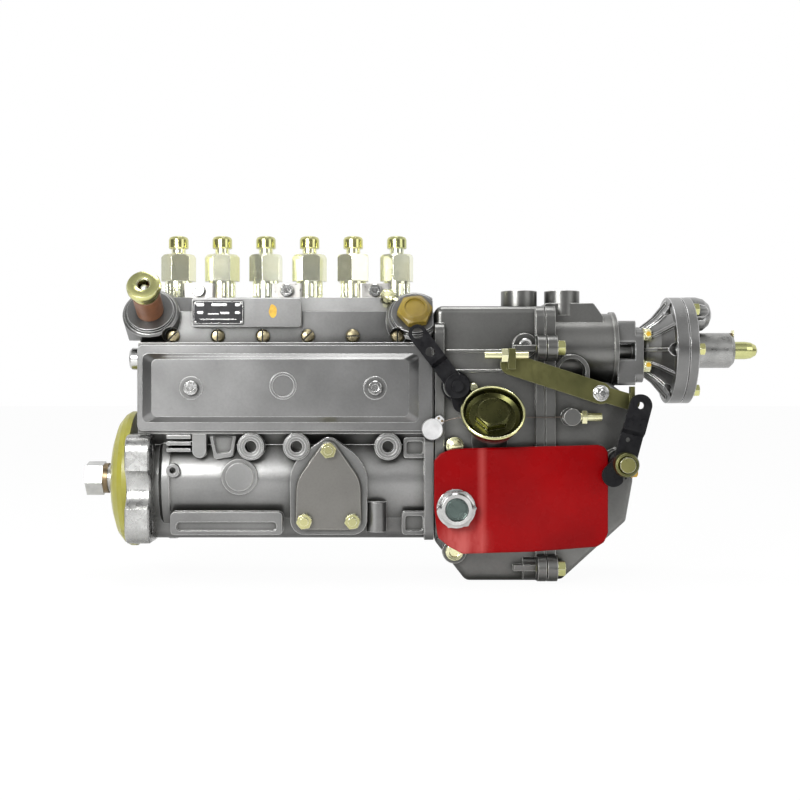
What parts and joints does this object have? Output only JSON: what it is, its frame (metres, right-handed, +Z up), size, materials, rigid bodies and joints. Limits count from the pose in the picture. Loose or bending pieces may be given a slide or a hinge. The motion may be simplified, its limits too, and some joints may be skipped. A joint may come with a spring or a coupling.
{
  "type": "diesel injection pump",
  "caption": "In-line diesel injection pump, flange mounted, with governor, stop and control levers and boost compensator.",
  "frame": {"origin": "centre of the drive flange's mounting face, on the camshaft axis", "axes": "+X along the camshaft from the drive end to the governor, -Y out of the near side with the side cover, +Z up towards the delivery outlets"},
  "size_m": [0.4882, 0.1385, 0.247],
  "materials": {
    "black_coat": "black coating",
    "bright_steel": "bright plated steel",
    "brown_sleeve": "brown sleeve",
    "cast_alloy": "sand cast aluminium, semi matte",
    "dark_steel": "oiled dark steel",
    "gasket": "gasket paper and rubber",
    "lead": "soft lead seal",
    "machined_alloy": "machined aluminium",
    "mustard_plastic": "mustard plastic",
    "olive_zinc": "olive chromate on steel",
    "sheet_alloy": "pressed cover, satin",
    "steel": "machined steel",
    "tag_red": "red plastic tag",
    "yellow_plastic": "translucent yellow plastic",
    "yellow_zinc": "yellow zinc plated steel"
  },
  "bodies": {
    "root": {"pump_housing": "cast_alloy", "drive_flange": "machined_alloy", "shaft_seal": "gasket", "bearing_outer_races": "steel", "drive_cap": "yellow_plastic", "side_cover_gasket": "gasket", "side_cover": "sheet_alloy", "barrels": "steel", "delivery_valves": "steel", "delivery_valve_holders": "yellow_zinc", "outlet_caps": "olive_zinc", "lock_clamps": "steel", "socket_screws": "bright_steel", "barrel_screws": "olive_zinc", "rack_cap": "bright_steel", "tappets": "steel", "plunger_springs": "dark_steel", "inlet_union": "brown_sleeve", "inlet_cap": "olive_zinc", "gallery_plug": "mustard_plastic", "blanking_plate": "machined_alloy", "blanking_nuts": "yellow_zinc", "governor_housing": "cast_alloy", "governor_gasket": "gasket", "governor_cover": "cast_alloy", "governor_bolts": "yellow_zinc", "oil_filler_cap": "yellow_zinc", "timing_plug": "bright_steel", "red_tag": "tag_red", "lead_seal": "lead", "lever_bracket": "olive_zinc", "adjusting_screws": "yellow_zinc", "aneroid_adapter": "cast_alloy", "aneroid_housing": "cast_alloy", "aneroid_cover": "cast_alloy", "aneroid_bolts": "yellow_zinc", "spring_tube": "machined_alloy", "acorn_nut": "yellow_zinc", "diaphragm": "gasket"},
    "camshaft": {"camshaft": "steel", "shaft_nut": "bright_steel", "shaft_washer": "dark_steel", "bearing_inner_races": "steel", "governor_hub": "steel"},
    "flyweight_upper": {"flyweight_upper": "steel"},
    "flyweight_lower": {"flyweight_lower": "steel"},
    "governor_sleeve": {"governor_sleeve": "steel"},
    "control_rack": {"control_rack": "steel"},
    "stop_lever": {"stop_lever": "black_coat", "stop_shaft": "steel"},
    "control_lever": {"control_lever": "black_coat", "control_shaft": "olive_zinc"},
    "aneroid_rod": {"aneroid_rod": "steel"},
    "element_1": {"plunger_set_1": "steel"},
    "element_2": {"plunger_set_2": "steel"},
    "element_3": {"plunger_set_3": "steel"},
    "element_4": {"plunger_set_4": "steel"},
    "element_5": {"plunger_set_5": "steel"},
    "element_6": {"plunger_set_6": "steel"}
  },
  "joints": [
    {"name": "camshaft_spin", "type": "hinge", "parent": "root", "child": "camshaft", "pos_m": [0, 0, 0], "axis": [1, 0, 0], "continuous": true},
    {"name": "sleeve_slide", "type": "slide", "parent": "camshaft", "child": "governor_sleeve", "axis": [1, 0, 0], "range_m": [0, 0.005]},
    {"name": "upper_weight_swing", "type": "hinge", "parent": "camshaft", "child": "flyweight_upper", "pos_m": [0.223, 0, 0.017], "axis": [0, -1, 0], "range_deg": [0, 30]},
    {"name": "lower_weight_swing", "type": "hinge", "parent": "camshaft", "child": "flyweight_lower", "pos_m": [0.223, 0, -0.017], "axis": [0, 1, 0], "range_deg": [0, 30]},
    {"name": "rack_slide", "type": "slide", "parent": "root", "child": "control_rack", "axis": [1, 0, 0], "range_m": [0, 0.021]},
    {"name": "stop_lever_swing", "type": "hinge", "parent": "root", "child": "stop_lever", "pos_m": [0.2297, -0.05, 0.0674], "axis": [0, 1, 0], "range_deg": [0, 60], "stiffness_Nm_per_rad": 0.2, "springref_deg": -17.19},
    {"name": "control_lever_swing", "type": "hinge", "parent": "root", "child": "control_lever", "pos_m": [0.3434, -0.06, 0.0138], "axis": [0, 1, 0], "range_deg": [-22, 35]},
    {"name": "aneroid_rod_slide", "type": "slide", "parent": "root", "child": "aneroid_rod", "axis": [1, 0, 0], "range_m": [-0.006, 0], "stiffness_N_per_m": 800, "springref_m": 0.004},
    {"name": "element_1_turn", "type": "hinge", "parent": "root", "child": "element_1", "pos_m": [0.029, 0, 0.08], "axis": [0, 0, 1], "range_deg": [0, 92.81]},
    {"name": "element_2_turn", "type": "hinge", "parent": "root", "child": "element_2", "pos_m": [0.061, 0, 0.08], "axis": [0, 0, 1], "range_deg": [0, 92.81]},
    {"name": "element_3_turn", "type": "hinge", "parent": "root", "child": "element_3", "pos_m": [0.093, 0, 0.08], "axis": [0, 0, 1], "range_deg": [0, 92.81]},
    {"name": "element_4_turn", "type": "hinge", "parent": "root", "child": "element_4", "pos_m": [0.125, 0, 0.08], "axis": [0, 0, 1], "range_deg": [0, 92.81]},
    {"name": "element_5_turn", "type": "hinge", "parent": "root", "child": "element_5", "pos_m": [0.157, 0, 0.08], "axis": [0, 0, 1], "range_deg": [0, 92.81]},
    {"name": "element_6_turn", "type": "hinge", "parent": "root", "child": "element_6", "pos_m": [0.189, 0, 0.08], "axis": [0, 0, 1], "range_deg": [0, 92.81]}
  ],
  "couplings": [
    {"joint": "upper_weight_swing", "follows": "sleeve_slide", "rad_per_m": 100},
    {"joint": "lower_weight_swing", "follows": "sleeve_slide", "rad_per_m": 100},
    {"joint": "element_1_turn", "follows": "rack_slide", "rad_per_m": 77.137},
    {"joint": "element_2_turn", "follows": "rack_slide", "rad_per_m": 77.137},
    {"joint": "element_3_turn", "follows": "rack_slide", "rad_per_m": 77.137},
    {"joint": "element_4_turn", "follows": "rack_slide", "rad_per_m": 77.137},
    {"joint": "element_5_turn", "follows": "rack_slide", "rad_per_m": 77.137},
    {"joint": "element_6_turn", "follows": "rack_slide", "rad_per_m": 77.137}
  ]
}
